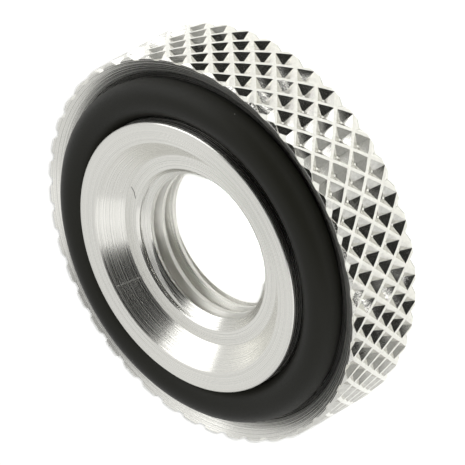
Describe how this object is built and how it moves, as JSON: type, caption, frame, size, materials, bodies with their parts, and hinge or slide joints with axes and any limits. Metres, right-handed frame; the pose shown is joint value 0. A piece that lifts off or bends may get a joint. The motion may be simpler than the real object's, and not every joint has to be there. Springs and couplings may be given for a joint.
{
  "type": "knurled thumb nut",
  "caption": "Round knurled thumb nut with a countersunk, threaded hole in a raised boss and a rubber sealing ring round the boss.",
  "frame": {"origin": "middle of the flat back face, on the thread axis", "axes": "+Z along the thread axis, from the back face to the boss face; a pit of the knurl's first whole row faces -Y"},
  "size_m": [0.0234, 0.0234, 0.0064],
  "materials": {
    "bright_aluminium": "turned and knurled, bright, without a coating",
    "black_rubber": "satin moulded rubber"
  },
  "bodies": {
    "root": {"nut_body": "bright_aluminium", "o_ring": "black_rubber"}
  },
  "joints": []
}
